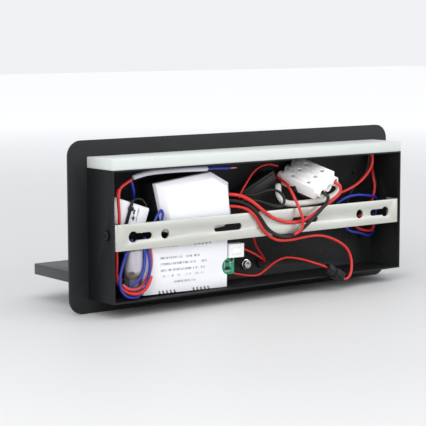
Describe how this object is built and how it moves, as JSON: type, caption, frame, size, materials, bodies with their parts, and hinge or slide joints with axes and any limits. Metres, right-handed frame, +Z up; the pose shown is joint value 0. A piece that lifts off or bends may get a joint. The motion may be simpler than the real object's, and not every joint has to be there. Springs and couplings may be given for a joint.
{
  "type": "wall lamp with shelf",
  "caption": "Wall lamp with an opal light bar on top of a flat black plate, a small charging shelf, a tilting reading lamp and a push switch, with an open rear box",
  "frame": {"origin": "middle of the wall strap's rear face, which lies on the wall", "axes": "+X along the wall, to the right for someone facing the lamp; -Y out of the wall; +Z up"},
  "size_m": [0.3276, 0.137, 0.133],
  "materials": {
    "black_powder_coat": "fine-textured satin black powder coat on steel",
    "opal_acrylic": "satin opal acrylic that spreads light",
    "galvanised_steel": "bare galvanised steel strip, lightly brushed along its length",
    "black_steel": "blackened steel screw",
    "white_plastic": "glossy white moulded plastic",
    "white_nylon": "milky white nylon",
    "black_plastic": "black moulded plastic",
    "white_board": "white solder mask board",
    "green_board": "green solder mask board",
    "brass": "plated brass",
    "grey_cast_metal": "light grey satin cast metal",
    "zinc_plate": "bright zinc plating",
    "clear_lens": "clear moulded lens",
    "grey_plastic": "satin grey plastic",
    "copper": "enamelled copper",
    "red_pvc": "red PVC insulation",
    "blue_pvc": "blue PVC insulation",
    "black_pvc": "black PVC insulation",
    "grey_pvc": "grey PVC cable jacket",
    "white_sleeving": "woven white insulating sleeve"
  },
  "bodies": {
    "housing": {"steel_box": "black_powder_coat", "front_plate": "black_powder_coat", "opal_light_bar": "opal_acrylic", "led_strip": "white_board", "wall_strap": "galvanised_steel", "side_screw_left": "black_steel", "side_screw_right": "black_steel", "supply_cover": "white_plastic", "supply_base": "white_plastic", "supply_board": "green_board", "board_plug": "white_nylon", "second_supply_cover": "white_plastic", "second_supply_base": "black_plastic", "lamp_supply": "white_plastic", "cable_tie": "black_plastic", "control_module": "black_plastic", "terminal_block": "white_nylon", "terminal_clamp_1": "brass", "terminal_clamp_2": "brass", "terminal_clamp_3": "brass", "inline_plug": "black_plastic", "inline_socket": "black_plastic", "barrel_bracket": "zinc_plate", "switch_body": "black_plastic", "shelf_shell": "black_powder_coat", "shelf_cover": "black_powder_coat", "charging_pad": "black_plastic", "charging_coil": "copper", "charging_board": "green_board", "shelf_grommet": "black_plastic", "shelf_screw_1": "zinc_plate", "shelf_screw_2": "zinc_plate", "cable_jacket": "grey_pvc", "wire_blue_tail": "blue_pvc", "wire_red_left": "red_pvc", "wire_blue_left": "blue_pvc", "wire_blue_outer": "blue_pvc", "wire_blue_inner": "blue_pvc", "wire_pink_loop": "red_pvc", "wire_live": "red_pvc", "wire_neutral": "black_pvc", "wire_red_out": "red_pvc", "wire_red_inline": "red_pvc", "wire_plug_red": "red_pvc", "wire_pair_red": "red_pvc", "wire_cross_red": "red_pvc", "wire_black_loop": "black_pvc", "wire_arc_red": "red_pvc", "wire_led_red": "red_pvc", "wire_led_black": "black_pvc", "wire_switch_red": "red_pvc", "wire_switch_blue": "blue_pvc", "white_sleeve": "white_sleeving"},
    "lamp_arm_swivel": {"swivel_barrel": "grey_cast_metal", "lamp_arm": "black_powder_coat", "tilt_pin": "zinc_plate"},
    "reading_head": {"lamp_body": "black_powder_coat", "lamp_lens": "clear_lens", "lamp_led_board": "white_board"},
    "switch_button": {"switch_button": "grey_plastic"}
  },
  "joints": [
    {"name": "lamp_swivel", "type": "hinge", "parent": "housing", "child": "lamp_arm_swivel", "pos_m": [0.1244, -0.008, -0.016], "axis": [0, 0, 1], "range_deg": [-10, 10]},
    {"name": "lamp_tilt", "type": "hinge", "parent": "lamp_arm_swivel", "child": "reading_head", "pos_m": [0.1244, -0.062, -0.016], "axis": [1, 0, 0], "range_deg": [0, 90]},
    {"name": "switch_press", "type": "slide", "parent": "housing", "child": "switch_button", "axis": [0, 1, 0], "range_m": [0, 0.0018], "stiffness_N_per_m": 400, "springref_m": -0.0008}
  ]
}
